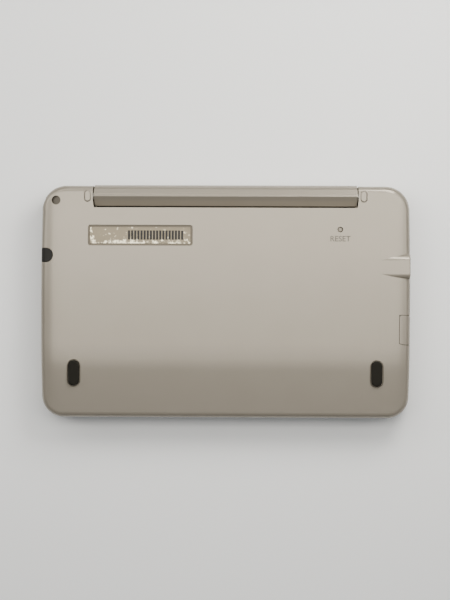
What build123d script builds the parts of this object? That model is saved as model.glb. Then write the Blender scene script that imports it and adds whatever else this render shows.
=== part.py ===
from build123d import *
from math import cos, radians, sin, sqrt, tan
import os

# Pocket electronic dictionary, shut and lying on its lid, in millimetres.
# +X runs along the width, +Y towards the hinge, +Z out of the underside of the base.
# The origin is under the middle of the body, on the outer face of the lid.

os.makedirs("parts", exist_ok=True)

# ---------------------------------------------------------------- driving dimensions
body_width = 152.4
body_depth = 95.4
body_height = 18.0
side_bulge = 0.7
hinge_corner_radius = 10.0
front_corner_radius = 9.0
wall = 1.6

# The stack, from the outer face of the lid up to the underside of the base
bezel_z = 6.0
lid_top_z = 7.6
deck_z = 8.0
case_z = 9.6
deck_lip_z = 10.9
board_z = 11.5
board_top_z = 12.3

half_width = body_width / 2
rear_y = body_depth / 2
front_y = -rear_y
corner_x = half_width - side_bulge

# Hinge: the lid carries a long bar that turns between two lugs of the base
bar_radius = 4.25
bar_half_length = 54.4
bar_rear_swell = 0.45
bar_wall = 1.1
bar_end_bulge = 0.5
notch_end_bulge = 0.5
hinge_y = rear_y - bar_radius
hinge_z = 13.6
notch_half_length = bar_half_length + 0.4
notch_y = hinge_y - bar_radius - 0.45
lug_turn_radius = 5.5
shaft_radius = 1.3
shaft_bore_radius = shaft_radius + 0.05

# Underside: flat, with crowned sides and a front that runs down
crown_start_x = 64.0
crown_radius = 34.0
slope_start_y = -18.0
slope_bend_radius = 120.0
slope_angle = 5.0
underside_edge_radius = 2.4

# Keyboard, seen from the user's seat: the user's left is +X
key_top_z = 7.9
key_flange_z = 9.5
key_flange_height = 0.4
key_corner = 0.9
key_gap = 0.25
letter_pitch = 12.6
letter_size = (10.6, 9.4)
row_y = (25.0, 11.5, -2.0, -15.5, -29.0)
key_window = (135.0, 72.0)
key_window_y = -4.5
plate_size = (144.4, 79.8)
plate_y = -4.3

# Screen, in the lid
screen_y = -4.5
window_size = (118.0, 70.0)
active_size = (110.0, 62.0)

# Stylus, in a tube across the base, with its head in a notch of the side wall
stylus_y = 19.1
stylus_z = 14.3
stylus_width = 4.8
stylus_thickness = 2.8
stylus_notch_radius = 3.0
stylus_notch_end_x = -71.1
stylus_block_x = -66.0

# Card slot cover, turning about an upright pin in the side wall
cover_axis_x = 75.0
cover_axis_y = -6.55
cover_reach = 10.8
cover_inner_x = 71.8
cover_low_z = 11.8
cover_gap = 0.25
cover_boss_radius = 1.2
cover_pin_radius = 0.6
cover_pin_length = 1.4

# Small things on the underside
foot_centres = ((-62.4, -29.45), (62.4, -29.45))
foot_size = (4.55, 10.45)
foot_top_z = 18.5
strap_hole = (-69.9, 41.7)
strap_hole_radius = 1.85
reset_hole = (47.2, 29.9)
reset_hole_radius = 1.15
label_centre = (-35.1, 27.3)
label_size = (42.7, 8.1)
label_depth = 0.7
label_margin = 0.7
label_thickness = 0.12

# Screws
case_screw_places = ((-70.0, -36.0), (70.0, -36.0), (-70.0, 33.0), (70.0, 33.0))
lid_screw_places = ((-70.0, 34.0), (70.0, 34.0))
bumper_places = ((-70.0, -42.0), (70.0, -42.0))
screw_radius = 0.8
screw_head_radius = 1.3
screw_head_height = 0.8
boss_radius = 1.9


def underside_drop(x, y):
    """How far the underside lies below its flat middle at a point."""
    across = max(abs(x) - crown_start_x, 0.0)
    side = crown_radius - sqrt(crown_radius**2 - across**2)
    along = max(slope_start_y - y, 0.0)
    bend = slope_bend_radius * sin(radians(slope_angle))
    if along < bend:
        front = slope_bend_radius - sqrt(slope_bend_radius**2 - along**2)
    else:
        front = slope_bend_radius * (1 - cos(radians(slope_angle)))
        front += (along - bend) * tan(radians(slope_angle))
    return side + front


def finish(piece, name):
    """Labels a finished piece and writes it as its own file."""
    piece.part.label = name
    export_step(piece.part, f"parts/{name}.step")


def bulged_slab(half_length, bulge, front):
    """A plan shape for the bar and its notch: from a front edge to past the rear, with bulging ends."""
    rear = rear_y + 1.0
    corner = half_length - bulge
    with BuildSketch() as plan:
        with BuildLine():
            Line((-corner, rear), (corner, rear))
            ThreePointArc((corner, rear), (half_length, hinge_y), (corner, front))
            Line((corner, front), (-corner, front))
            ThreePointArc((-corner, front), (-half_length, hinge_y), (-corner, rear))
        make_face()
    return plan.sketch


# ---------------------------------------------------------------- shared outline
# Nearly straight front and rear edges, slightly bulging sides and large corners.
with BuildSketch() as outline:
    with BuildLine():
        Line((-corner_x, rear_y), (corner_x, rear_y))
        ThreePointArc((corner_x, rear_y), (half_width, 0), (corner_x, front_y))
        Line((corner_x, front_y), (-corner_x, front_y))
        ThreePointArc((-corner_x, front_y), (-half_width, 0), (-corner_x, rear_y))
    make_face()
    fillet(outline.vertices().group_by(Axis.Y)[0], front_corner_radius)
    fillet(outline.vertices().group_by(Axis.Y)[-1], hinge_corner_radius)

# The same outline inside the walls, and inside the walls that fold in around the hinge notch
with BuildSketch() as inner_outline:
    offset(outline.sketch, amount=-wall)

with BuildSketch() as base_inner_outline:
    add(inner_outline.sketch)
    with Locations((0, (notch_y - wall + 60) / 2)):
        Rectangle(2 * (notch_half_length + wall), 60 - notch_y + wall, mode=Mode.SUBTRACT)

# ================================================================ LID
# ---------------------------------------------------------------- lid cover
# The outer shell of the lid: a shallow tray with a rolled outer edge, screw bosses and display ribs.
lid_edge_radius = 2.2
lid_rib_z = 2.4
lid_rib_pitch = 36.0
lid_rib_size = (1.2, 60.0)

with BuildPart() as lid_cover:
    with BuildSketch():
        add(outline.sketch)
    extrude(amount=bezel_z)
    fillet(lid_cover.edges().group_by(Axis.Z)[0], lid_edge_radius)
    with BuildSketch(Plane.XY.offset(wall)):
        add(inner_outline.sketch)
    extrude(amount=bezel_z, mode=Mode.SUBTRACT)
    with BuildSketch(Plane.XY.offset(wall)):
        with Locations(*lid_screw_places):
            Circle(boss_radius)
    extrude(amount=bezel_z - wall)
    with BuildSketch(Plane.XY.offset(wall)):
        with Locations((0, screen_y)):
            with GridLocations(lid_rib_pitch, 0, 3, 1):
                Rectangle(*lid_rib_size)
    extrude(amount=lid_rib_z - wall)
    with BuildSketch(Plane.XY.offset(wall)):
        with Locations(*lid_screw_places):
            Circle(screw_radius + 0.05)
    extrude(amount=bezel_z, mode=Mode.SUBTRACT)
finish(lid_cover, "lid_cover")

# ---------------------------------------------------------------- lid bezel
# The frame round the screen, with a pocket for the window, a speaker grille, and recesses for the
# screws and the bumpers.
window_z = 6.5
window_top_z = 7.3
grille_pitch = 1.8
grille_slots = 4
grille_slot_size = (0.8, 11.0)
bumper_radius = 1.8
speaker_x = -67.6
speaker_y = 12.0
lid_head_z = 6.6

with BuildPart() as lid_bezel:
    with BuildSketch(Plane.XY.offset(bezel_z)):
        add(outline.sketch)
        with Locations((0, hinge_y + 6)):
            Rectangle(2 * bar_half_length + 0.2, 2 * (bar_radius + 6) + 0.2, mode=Mode.SUBTRACT)
    extrude(amount=lid_top_z - bezel_z)
    chamfer(lid_bezel.edges().group_by(Axis.Z)[-1], 0.3)
    with BuildSketch(Plane.XY.offset(window_z)):
        with Locations((0, screen_y)):
            RectangleRounded(window_size[0] + 0.3, window_size[1] + 0.3, 2.1)
    extrude(amount=2, mode=Mode.SUBTRACT)
    with BuildSketch(Plane.XY.offset(bezel_z)):
        with Locations((0, screen_y)):
            RectangleRounded(active_size[0] + 1.2, active_size[1] + 1.2, 1.0)
    extrude(amount=2, mode=Mode.SUBTRACT)
    with BuildSketch(Plane.XY.offset(bezel_z)):
        with Locations((speaker_x, speaker_y)):
            with GridLocations(grille_pitch, 0, grille_slots, 1):
                Rectangle(*grille_slot_size)
    extrude(amount=2, mode=Mode.SUBTRACT)
    with BuildSketch(Plane.XY.offset(bezel_z)):
        with Locations(*lid_screw_places):
            Circle(screw_radius + 0.1)
    extrude(amount=2, mode=Mode.SUBTRACT)
    with BuildSketch(Plane.XY.offset(lid_head_z)):
        with Locations(*lid_screw_places):
            Circle(screw_head_radius + 0.15)
        with Locations(*bumper_places):
            Circle(bumper_radius + 0.1)
    extrude(amount=2, mode=Mode.SUBTRACT)
finish(lid_bezel, "lid_bezel")

# ---------------------------------------------------------------- screen window
with BuildPart() as screen_window:
    with BuildSketch(Plane.XY.offset(window_z)):
        with Locations((0, screen_y)):
            RectangleRounded(window_size[0], window_size[1], 2.0)
    extrude(amount=window_top_z - window_z)
    chamfer(screen_window.edges().group_by(Axis.Z)[-1], 0.15)
finish(screen_window, "screen_window")

# ---------------------------------------------------------------- LCD module
# The panel in its metal tray, with the glass stepped up into the bezel's opening.
lcd_tray_size = (114.0, 66.0)
lcd_tray_top_z = 5.9
lcd_glass_top_z = 6.4

with BuildPart() as lcd_module:
    with BuildSketch(Plane.XY.offset(lid_rib_z)):
        with Locations((0, screen_y)):
            RectangleRounded(lcd_tray_size[0], lcd_tray_size[1], 1.0)
    extrude(amount=lcd_tray_top_z - lid_rib_z)
    with BuildSketch(Plane.XY.offset(lcd_tray_top_z)):
        with Locations((0, screen_y)):
            Rectangle(active_size[0], active_size[1])
    extrude(amount=lcd_glass_top_z - lcd_tray_top_z)
finish(lcd_module, "lcd_module")

# ---------------------------------------------------------------- display cable
# A flat ribbon from the LCD module into the hinge bar. It lies along the lid and turns up in the bar.
cable_thickness = 0.25
cable_width = 14.0
cable_z = 4.0
cable_turn_radius = 1.2
cable_end_z = 11.5
lcd_rear_y = screen_y + lcd_tray_size[1] / 2

with BuildPart() as display_cable:
    with BuildSketch(Plane.YZ):
        with BuildLine() as ribbon_path:
            FilletPolyline(
                (lcd_rear_y + cable_thickness / 2, cable_z),
                (hinge_y, cable_z),
                (hinge_y, cable_end_z),
                radius=cable_turn_radius,
            )
            offset(amount=cable_thickness / 2, side=Side.BOTH)
        make_face()
    extrude(amount=cable_width / 2, both=True)
finish(display_cable, "display_cable")

# ---------------------------------------------------------------- speaker
speaker_size = (9.0, 16.0)
speaker_post_size = (4.0, 10.0)
speaker_z = 2.6
speaker_top_z = bezel_z - 0.1
speaker_rim = 1.0
speaker_rim_height = 0.8

with BuildPart() as speaker:
    with BuildSketch(Plane.XY.offset(speaker_z)):
        with Locations((speaker_x, speaker_y)):
            RectangleRounded(speaker_size[0], speaker_size[1], 2.0)
    extrude(amount=speaker_top_z - speaker_z)
    with BuildSketch(Plane.XY.offset(speaker_top_z - speaker_rim_height)):
        with Locations((speaker_x, speaker_y)):
            RectangleRounded(speaker_size[0] - 2 * speaker_rim, speaker_size[1] - 2 * speaker_rim, 1.5)
    extrude(amount=1, mode=Mode.SUBTRACT)
    with BuildSketch(Plane.XY.offset(wall)):
        with Locations((speaker_x, speaker_y)):
            Rectangle(*speaker_post_size)
    extrude(amount=speaker_z - wall)
finish(speaker, "speaker")

# ---------------------------------------------------------------- hinge bar
# A hollow moulding along the hinge line. Its top is roof-shaped: a gentle rear facet and a steeper
# front one meet at a crease over the axis. All of it stays inside the circle that turns in the notch.
rear_facet_end = (2.9, 3.05)
front_facet_end = (-3.9, 1.5)
neck_front_offset = -4.2
front_bulge = (-4.13, 0.8)
rear_bulge = (4.2, 1.7)
crease_radius = 0.6
bar_front_corner = 1.0
groove_offset = 0.95
groove_width = 0.3
groove_floor = 3.68
pillar_x = 33.0
pillar_size = (2.4, 5.0)
pillar_top_z = 15.4

with BuildSketch() as bar_profile:
    with BuildLine():
        ThreePointArc(
            (hinge_y + bar_radius + bar_rear_swell, hinge_z),
            (hinge_y + bar_radius + 0.8 * bar_rear_swell, (hinge_z + deck_z) / 2),
            (hinge_y + bar_radius, deck_z),
        )
        Polyline(
            (hinge_y + bar_radius, deck_z),
            (hinge_y + bar_radius, bezel_z),
            (hinge_y + neck_front_offset, bezel_z),
            (hinge_y + neck_front_offset, hinge_z),
        )
        ThreePointArc(
            (hinge_y + neck_front_offset, hinge_z),
            (hinge_y + front_bulge[0], hinge_z + front_bulge[1]),
            (hinge_y + front_facet_end[0], hinge_z + front_facet_end[1]),
        )
        Polyline(
            (hinge_y + front_facet_end[0], hinge_z + front_facet_end[1]),
            (hinge_y, hinge_z + bar_radius),
            (hinge_y + rear_facet_end[0], hinge_z + rear_facet_end[1]),
        )
        ThreePointArc(
            (hinge_y + rear_facet_end[0], hinge_z + rear_facet_end[1]),
            (hinge_y + rear_bulge[0], hinge_z + rear_bulge[1]),
            (hinge_y + bar_radius + bar_rear_swell, hinge_z),
        )
    make_face()
    fillet(bar_profile.vertices().sort_by(Axis.Y)[-1], crease_radius)

# The rear facet has a fine groove along it, just behind the crease
with BuildSketch() as grooved_bar_profile:
    add(bar_profile.sketch)
    with Locations((hinge_y + groove_offset, hinge_z + bar_radius)):
        Rectangle(groove_width, 2 * (bar_radius - groove_floor), mode=Mode.SUBTRACT)

with BuildSketch() as bar_hollow_profile:
    offset(bar_profile.sketch, amount=-bar_wall)
    with Locations((hinge_y, bezel_z + 0.5)):
        Rectangle(2 * (bar_radius - bar_wall) - 0.1, 4)

with BuildPart() as hinge_bar:
    with BuildSketch(Plane.YZ.offset(-bar_half_length)):
        add(grooved_bar_profile.sketch)
    extrude(amount=2 * bar_half_length)
    with BuildSketch(Plane.XY) as bar_plan:
        add(bulged_slab(bar_half_length, bar_end_bulge, hinge_y + neck_front_offset))
        fillet(bar_plan.vertices().group_by(Axis.Y)[0], bar_front_corner)
    extrude(amount=2 * body_height, mode=Mode.INTERSECT)
    with BuildSketch(Plane.YZ.offset(wall - bar_half_length)):
        add(bar_hollow_profile.sketch)
    extrude(amount=2 * (bar_half_length - wall), mode=Mode.SUBTRACT)
    with BuildSketch(Plane.XY.offset(wall)):
        with Locations((-pillar_x, hinge_y), (pillar_x, hinge_y)):
            Rectangle(*pillar_size)
    extrude(amount=pillar_top_z - wall)
    for start_x in (-bar_half_length - 1, bar_half_length - wall - 1):
        with BuildSketch(Plane.YZ.offset(start_x)):
            with Locations((hinge_y, hinge_z)):
                Circle(shaft_radius + 0.4)
        extrude(amount=wall + 2, mode=Mode.SUBTRACT)
finish(hinge_bar, "hinge_bar")

# ---------------------------------------------------------------- hinge clutches
# A friction barrel in each end of the bar. The shafts of the base turn in them.
clutch_radius = 2.2
clutch_inner_x = 41.0
clutch_outer_x = 52.6
clutch_key_size = (1.6, 2.4)

with BuildPart() as hinge_clutches:
    for side in (-1, 1):
        start_x = clutch_inner_x if side > 0 else -clutch_outer_x
        with BuildSketch(Plane.YZ.offset(start_x)):
            with Locations((hinge_y, hinge_z)):
                Circle(clutch_radius)
            with Locations((hinge_y, hinge_z - clutch_radius)):
                Rectangle(*clutch_key_size)
            with Locations((hinge_y, hinge_z)):
                Circle(shaft_bore_radius, mode=Mode.SUBTRACT)
        extrude(amount=clutch_outer_x - clutch_inner_x)
finish(hinge_clutches, "hinge_clutches")

# ---------------------------------------------------------------- lid screws and bumpers
# Two screws hold the bezel beside the hinge. Two soft round bumpers keep the far corners off the deck.
lid_screw_length = 4.0
lid_screw_head_height = 0.6
bumper_top_z = 7.9

with BuildPart() as lid_screws:
    with BuildSketch(Plane.XY.offset(lid_head_z)):
        with Locations(*lid_screw_places):
            Circle(screw_head_radius)
    extrude(amount=lid_screw_head_height)
    with BuildSketch(Plane.XY.offset(lid_head_z)):
        with Locations(*lid_screw_places):
            Circle(screw_radius)
    extrude(amount=-lid_screw_length)
finish(lid_screws, "lid_screws")

with BuildPart() as lid_bumpers:
    with BuildSketch(Plane.XY.offset(lid_head_z)):
        with Locations(*bumper_places):
            Circle(bumper_radius)
    extrude(amount=bumper_top_z - lid_head_z)
    chamfer(lid_bumpers.edges().group_by(Axis.Z)[-1], 0.2)
finish(lid_bumpers, "lid_bumpers")

# ================================================================ BASE
# ---------------------------------------------------------------- outer form of the base
# The solid block that the case and the card slot cover are both cut from. Its underside is one
# surface with crowned sides and a sloping front. The jack housing stays level out to the edge,
# so it stands proud where the crown falls away, and its rounded sides run out to nothing.
jack_y = 14.1
housing_flat = (11.7, 17.2)
housing_front_radius = 1.9
housing_rear_radius = 3.0
housing_foot_z = body_height - 4.0
housing_edge_radius = 0.5
housing_start_x = 58.0

with BuildPart() as jack_housing:
    with BuildSketch(Plane.YZ.offset(housing_start_x)):
        with BuildLine():
            top = Line((housing_flat[0], body_height), (housing_flat[1], body_height))
            rear_round = JernArc(top @ 1, (1, 0), housing_rear_radius, -90)
            front_round = JernArc(top @ 0, (-1, 0), housing_front_radius, 90)
            Polyline(
                rear_round @ 1,
                ((rear_round @ 1).X, housing_foot_z),
                ((front_round @ 1).X, housing_foot_z),
                front_round @ 1,
            )
        make_face()
    extrude(amount=half_width - housing_start_x + 5)
    with BuildSketch(Plane.XY.offset(case_z)):
        add(outline.sketch)
    extrude(amount=body_height, mode=Mode.INTERSECT)
    end_face = jack_housing.faces().sort_by(Axis.X)[-1]
    fillet(end_face.edges().filter_by(lambda e: e.center().Z > housing_foot_z + 0.1), housing_edge_radius)

# The space above the underside: a section with crowned sides, swept along a run that bends down in front
sweep_start_y = rear_y + 2.0
sweep_front_run = 40.0
sweep_headroom = 20.0
crown_angle = 30.0

with BuildPart() as above_underside:
    with BuildLine(Plane.YZ):
        level_run = Line((sweep_start_y, body_height), (slope_start_y, body_height))
        bend_run = JernArc(level_run @ 1, (-1, 0), slope_bend_radius, slope_angle)
        PolarLine(bend_run @ 1, sweep_front_run, direction=bend_run % 1)
    with BuildSketch(Plane.XZ.offset(-sweep_start_y)):
        with BuildLine():
            middle = Line((-crown_start_x, body_height), (crown_start_x, body_height))
            right_crown = JernArc(middle @ 1, (1, 0), crown_radius, -crown_angle)
            left_crown = JernArc(middle @ 0, (-1, 0), crown_radius, crown_angle)
            Polyline(
                right_crown @ 1,
                (right_crown @ 1) + (0, sweep_headroom),
                (left_crown @ 1) + (0, sweep_headroom),
                left_crown @ 1,
            )
        make_face()
    sweep()

with BuildPart() as base_form:
    with BuildSketch(Plane.XY.offset(case_z)):
        add(outline.sketch)
    extrude(amount=body_height)
    add(above_underside.part, mode=Mode.SUBTRACT)
    fillet(base_form.faces().sort_by(Axis.Z)[-1].edges(), underside_edge_radius)
    add(jack_housing.part)

# ---------------------------------------------------------------- plan shapes used by case and cover
# The card slot cover has a round rear end about its pin and a curved front end it can swing past.
def cover_plan(gap):
    with BuildSketch() as plan:
        with Locations((cover_axis_x, cover_axis_y)):
            Circle(cover_reach + gap)
        with Locations(((cover_inner_x - gap + 80) / 2, cover_axis_y + 1.2 + gap - 20)):
            Rectangle(80 - cover_inner_x + gap, 40, mode=Mode.INTERSECT)
    return plan.sketch


# The stylus notch is open at the side wall and round at its inner end.
def stylus_notch_plan(radius):
    with BuildSketch() as plan:
        with Locations((stylus_notch_end_x - stylus_notch_radius, stylus_y)):
            Circle(radius)
        with Locations((stylus_notch_end_x - stylus_notch_radius - 5, stylus_y)):
            Rectangle(10, 2 * radius)
    return plan.sketch


# ---------------------------------------------------------------- bottom case
# The underside shell. It carries every detail of the underside, and bosses for the deck's screws.
strap_boss_radius = 2.8
strap_pocket_z = 13.0
strap_slot_size = (2.4, 2.6)
strap_slot_y = strap_hole[1] - 0.3
reset_guide_radius = 2.0
reset_guide_height = 1.2
reset_guide_wall = 0.9
label_rim_chamfer = 0.25
label_rim_reach = (22.0, 5.0)
pad_x = 56.9
pad_size = (3.0, 5.0)
pad_height = 0.4
pad_side_angle = 55.0
stylus_low_z = stylus_z - stylus_thickness / 2
usb_y = 25.5
usb_z = 13.0
jack_z = 13.7
jack_nose_radius = 2.4
card_slot_z = 13.2
card_slot_y = -11.35
card_slot_size = (10.6, 1.0)
card_slot_offset = -0.4
card_block_x = 79.5
card_block_size = (20.0, 16.4)
stylus_block_size = (20.0, 9.0)
stylus_block_middle = (stylus_block_x - stylus_block_size[0] / 2, stylus_y)
usb_opening_size = (8.4, 3.4)
cover_ledge_x = 74.7
cover_ledge_z = 15.9
foot_recess_depth = 0.7
foot_rim = 0.4
ceiling_z = body_height - wall
ceiling_slope_y = slope_start_y - 4.0
ceiling_side_fall = ((66.5, 0.0), (70.5, 0.6), (76.2, 2.2))

# The hollow keeps a wall of even thickness: a flat ceiling that slopes down in front and at the sides
with BuildPart() as case_cavity:
    with BuildSketch(Plane.XY.offset(case_z - 1)):
        add(base_inner_outline.sketch)
        with Locations(strap_hole):
            Circle(strap_boss_radius, mode=Mode.SUBTRACT)
        with Locations(stylus_block_middle):
            Rectangle(*stylus_block_size, mode=Mode.SUBTRACT)
        with Locations((card_block_x, card_slot_y)):
            Rectangle(*card_block_size, mode=Mode.SUBTRACT)
    extrude(amount=body_height)
    with BuildSketch(Plane.YZ.offset(-half_width)):
        with BuildLine():
            Polyline(
                (rear_y, 0),
                (rear_y, ceiling_z),
                (ceiling_slope_y, ceiling_z),
                (front_y, ceiling_z - (ceiling_slope_y - front_y) * tan(radians(slope_angle))),
                (front_y, 0),
                close=True,
            )
        make_face()
    extrude(amount=body_width, mode=Mode.INTERSECT)
    with BuildSketch(Plane.XZ.offset(-rear_y)):
        with BuildLine():
            right_side = [(x, ceiling_z - fall) for x, fall in ceiling_side_fall] + [(half_width, 0)]
            left_side = [(-x, z) for x, z in reversed(right_side)]
            Polyline(*right_side, *left_side, close=True)
        make_face()
    extrude(amount=body_depth, mode=Mode.INTERSECT)

with BuildPart() as bottom_case:
    add(base_form.part)
    with BuildSketch(Plane.XY.offset(case_z - 1)):
        add(bulged_slab(notch_half_length, notch_end_bulge, notch_y))
    extrude(amount=body_height, mode=Mode.SUBTRACT)
    add(case_cavity.part, mode=Mode.SUBTRACT)

    # Screw bosses, each reaching up into the thickness of the wall
    for x, y in case_screw_places:
        top = body_height - underside_drop(x, y) - wall / 2
        with BuildSketch(Plane.XY.offset(deck_lip_z)):
            with Locations((x, y)):
                Circle(boss_radius)
        extrude(amount=top - deck_lip_z)
        with BuildSketch(Plane.XY.offset(deck_lip_z)):
            with Locations((x, y)):
                Circle(screw_radius + 0.05)
        extrude(amount=3, mode=Mode.SUBTRACT)

    # Guide ring and hole of the reset button
    with BuildSketch(Plane.XY.offset(body_height - wall - reset_guide_height)):
        with Locations(reset_hole):
            Circle(reset_guide_radius + reset_guide_wall)
            Circle(reset_guide_radius, mode=Mode.SUBTRACT)
    extrude(amount=reset_guide_height + 0.2)
    with BuildSketch(Plane.XY.offset(body_height)):
        with Locations(reset_hole):
            Circle(reset_hole_radius)
    extrude(amount=-wall - 0.5, mode=Mode.SUBTRACT)

    # Low mounds on the lugs, beside the ends of the bar, which the base rests on with its front feet
    for x in (-pad_x, pad_x):
        with BuildSketch(Plane.XY.offset(body_height)):
            with Locations((x, hinge_y)):
                SlotOverall(pad_size[1], pad_size[0], rotation=90)
        extrude(amount=-1)
        with BuildSketch(Plane.XY.offset(body_height)):
            with Locations((x, hinge_y)):
                SlotOverall(pad_size[1], pad_size[0], rotation=90)
        extrude(amount=pad_height, taper=pad_side_angle)

    # Sunken bed of the label
    with BuildSketch(Plane.XY.offset(body_height - label_depth)):
        with Locations(label_centre):
            RectangleRounded(label_size[0], label_size[1], 0.8)
    extrude(amount=1, mode=Mode.SUBTRACT)
    label_rim = bottom_case.edges().filter_by_position(Axis.Z, body_height - 0.01, body_height + 0.01)
    for axis, middle, reach in zip((Axis.X, Axis.Y), label_centre, label_rim_reach):
        label_rim = label_rim.filter_by_position(axis, middle - reach, middle + reach)
    chamfer(label_rim, label_rim_chamfer)

    # Oval recesses of the front feet, with a bevelled rim that follows the slope
    slope_normal = (0, -sin(radians(slope_angle)), cos(radians(slope_angle)))
    for x, y in foot_centres:
        floor_z = body_height - underside_drop(x, y) - foot_recess_depth
        with BuildSketch(Plane.XY.offset(floor_z)):
            with Locations((x, y)):
                SlotOverall(foot_size[1] + 0.3, foot_size[0] + 0.3, rotation=90)
        extrude(amount=4, mode=Mode.SUBTRACT)
        rim_middle = (x, y, body_height - underside_drop(x, y) - foot_rim)
        with BuildSketch(Plane(rim_middle, x_dir=(1, 0, 0), z_dir=slope_normal)):
            SlotOverall(foot_size[1] + 0.3, foot_size[0] + 0.3, rotation=90)
        extrude(amount=2 * foot_rim, taper=-45, mode=Mode.SUBTRACT)

    # Strap hole: a round pocket that opens sideways, which leaves a bar for the strap to go round
    with BuildSketch(Plane.XY.offset(strap_pocket_z)):
        with Locations(strap_hole):
            Circle(strap_hole_radius)
    extrude(amount=6, mode=Mode.SUBTRACT)
    with BuildSketch(Plane.YZ.offset(strap_hole[0])):
        with Locations((strap_slot_y, strap_pocket_z + strap_slot_size[1] / 2)):
            Rectangle(*strap_slot_size)
    extrude(amount=-8, mode=Mode.SUBTRACT)

    # Stylus notch, with a round inner end, and the way into the tube
    with BuildSketch(Plane.XY.offset(stylus_low_z - 0.3)):
        add(stylus_notch_plan(stylus_notch_radius))
    extrude(amount=8, mode=Mode.SUBTRACT)
    with BuildSketch(Plane.YZ.offset(stylus_notch_end_x - 3)):
        with Locations((stylus_y, stylus_z)):
            RectangleRounded(stylus_width + 0.4, stylus_thickness + 0.4, 1.4)
    extrude(amount=stylus_block_x - stylus_notch_end_x + 4, mode=Mode.SUBTRACT)

    # Openings for the earphone jack and the USB socket
    with BuildSketch(Plane.YZ.offset(half_width + 1)):
        with Locations((jack_y, jack_z)):
            Circle(jack_nose_radius + 0.1)
    extrude(amount=-8, mode=Mode.SUBTRACT)
    with BuildSketch(Plane.YZ.offset(half_width + 1)):
        with Locations((usb_y, usb_z)):
            RectangleRounded(usb_opening_size[0], usb_opening_size[1], 1.0)
    extrude(amount=-6, mode=Mode.SUBTRACT)

    # Recess of the card slot cover, its pin hole and the card slot
    with BuildSketch(Plane.XY.offset(cover_low_z - cover_gap)):
        add(cover_plan(cover_gap))
        with Locations((cover_ledge_x - cover_gap - 10, card_slot_y)):
            Rectangle(20, 30, mode=Mode.SUBTRACT)
        with Locations((cover_axis_x, cover_axis_y)):
            Circle(cover_boss_radius + cover_gap)
    extrude(amount=8, mode=Mode.SUBTRACT)
    with BuildSketch(Plane.XY.offset(cover_ledge_z - cover_gap)):
        add(cover_plan(cover_gap))
    extrude(amount=4, mode=Mode.SUBTRACT)
    with BuildSketch(Plane.XY.offset(cover_low_z)):
        with Locations((cover_axis_x, cover_axis_y)):
            Circle(cover_pin_radius + 0.06)
    extrude(amount=-cover_pin_length - 0.2, mode=Mode.SUBTRACT)
    with BuildSketch(Plane.YZ.offset(half_width)):
        with Locations((card_slot_y + card_slot_offset, card_slot_z)):
            Rectangle(*card_slot_size)
    extrude(amount=-9, mode=Mode.SUBTRACT)

    # Shaft holes in the inner walls of the lugs
    with BuildSketch(Plane.YZ):
        with Locations((hinge_y, hinge_z)):
            Circle(shaft_radius + 0.1)
    extrude(amount=notch_half_length + wall + 0.5, both=True, mode=Mode.SUBTRACT)

    # The lugs are cut round about the hinge axis, so that they clear the lid as they turn
    with BuildSketch(Plane.YZ):
        with Locations((hinge_y + 4, case_z)):
            Rectangle(8, 2)
        with Locations((hinge_y, hinge_z)):
            Circle(lug_turn_radius, mode=Mode.SUBTRACT)
    extrude(amount=half_width + 1, both=True, mode=Mode.SUBTRACT)
finish(bottom_case, "bottom_case")

# ---------------------------------------------------------------- keyboard deck
# The frame round the keyboard. A lip on its back locates it inside the case, and a bed holds the plate.
plate_z = 8.5
plate_thickness = 0.8
plate_back_z = plate_z + plate_thickness

with BuildPart() as keyboard_deck:
    with BuildSketch(Plane.XY.offset(deck_z)):
        add(outline.sketch)
    extrude(amount=case_z - deck_z)
    chamfer(keyboard_deck.edges().group_by(Axis.Z)[0], 0.3)
    with BuildSketch(Plane.XY.offset(deck_z)):
        add(bulged_slab(notch_half_length, notch_end_bulge, notch_y))
    extrude(amount=case_z - deck_z, mode=Mode.SUBTRACT)
    with BuildSketch(Plane.XY.offset(case_z)):
        offset(base_inner_outline.sketch, amount=-0.15)
        with Locations(strap_hole):
            Circle(strap_boss_radius + 0.15, mode=Mode.SUBTRACT)
        with Locations(stylus_block_middle):
            Rectangle(stylus_block_size[0] + 0.3, stylus_block_size[1] + 0.3, mode=Mode.SUBTRACT)
        with Locations((card_block_x, card_slot_y)):
            Rectangle(card_block_size[0] + 0.3, card_block_size[1] + 0.3, mode=Mode.SUBTRACT)
    extrude(amount=deck_lip_z - case_z)
    with BuildSketch(Plane.XY.offset(deck_z - 1)):
        with Locations((0, plate_y)):
            RectangleRounded(plate_size[0] + 0.3, plate_size[1] + 0.3, 4.15)
    extrude(amount=plate_back_z - deck_z + 1, mode=Mode.SUBTRACT)
    with BuildSketch(Plane.XY.offset(deck_z)):
        with Locations((0, key_window_y)):
            RectangleRounded(key_window[0], key_window[1], 2.0)
    extrude(amount=5, mode=Mode.SUBTRACT)
    with BuildSketch(Plane.XY.offset(plate_back_z)):
        with Locations(*case_screw_places):
            Circle(screw_radius + 0.1)
    extrude(amount=5, mode=Mode.SUBTRACT)
    with BuildSketch(Plane.XY.offset(plate_back_z)):
        with Locations(*case_screw_places):
            Circle(screw_head_radius + 0.15)
    extrude(amount=screw_head_height, mode=Mode.SUBTRACT)
    with BuildSketch(Plane.YZ):
        with Locations((hinge_y + 4, deck_z + 1)):
            Rectangle(8, 4)
        with Locations((hinge_y, hinge_z)):
            Circle(lug_turn_radius, mode=Mode.SUBTRACT)
    extrude(amount=half_width + 1, both=True, mode=Mode.SUBTRACT)
finish(keyboard_deck, "keyboard_deck")

# ---------------------------------------------------------------- key positions
# Seats are given from the user's side, so a key that is further right has a smaller X.
def seat(across, row):
    return (-across, row_y[row])


key_seats = {}
for row, letters in ((1, "qwertyuiop"), (2, "asdfghjkl"), (3, "zxcvbnm")):
    first = -4.5 * letter_pitch + (row - 1) * letter_pitch / 2
    for place, letter in enumerate(letters):
        key_seats[f"key_{letter}"] = seat(first + place * letter_pitch, row)

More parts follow.
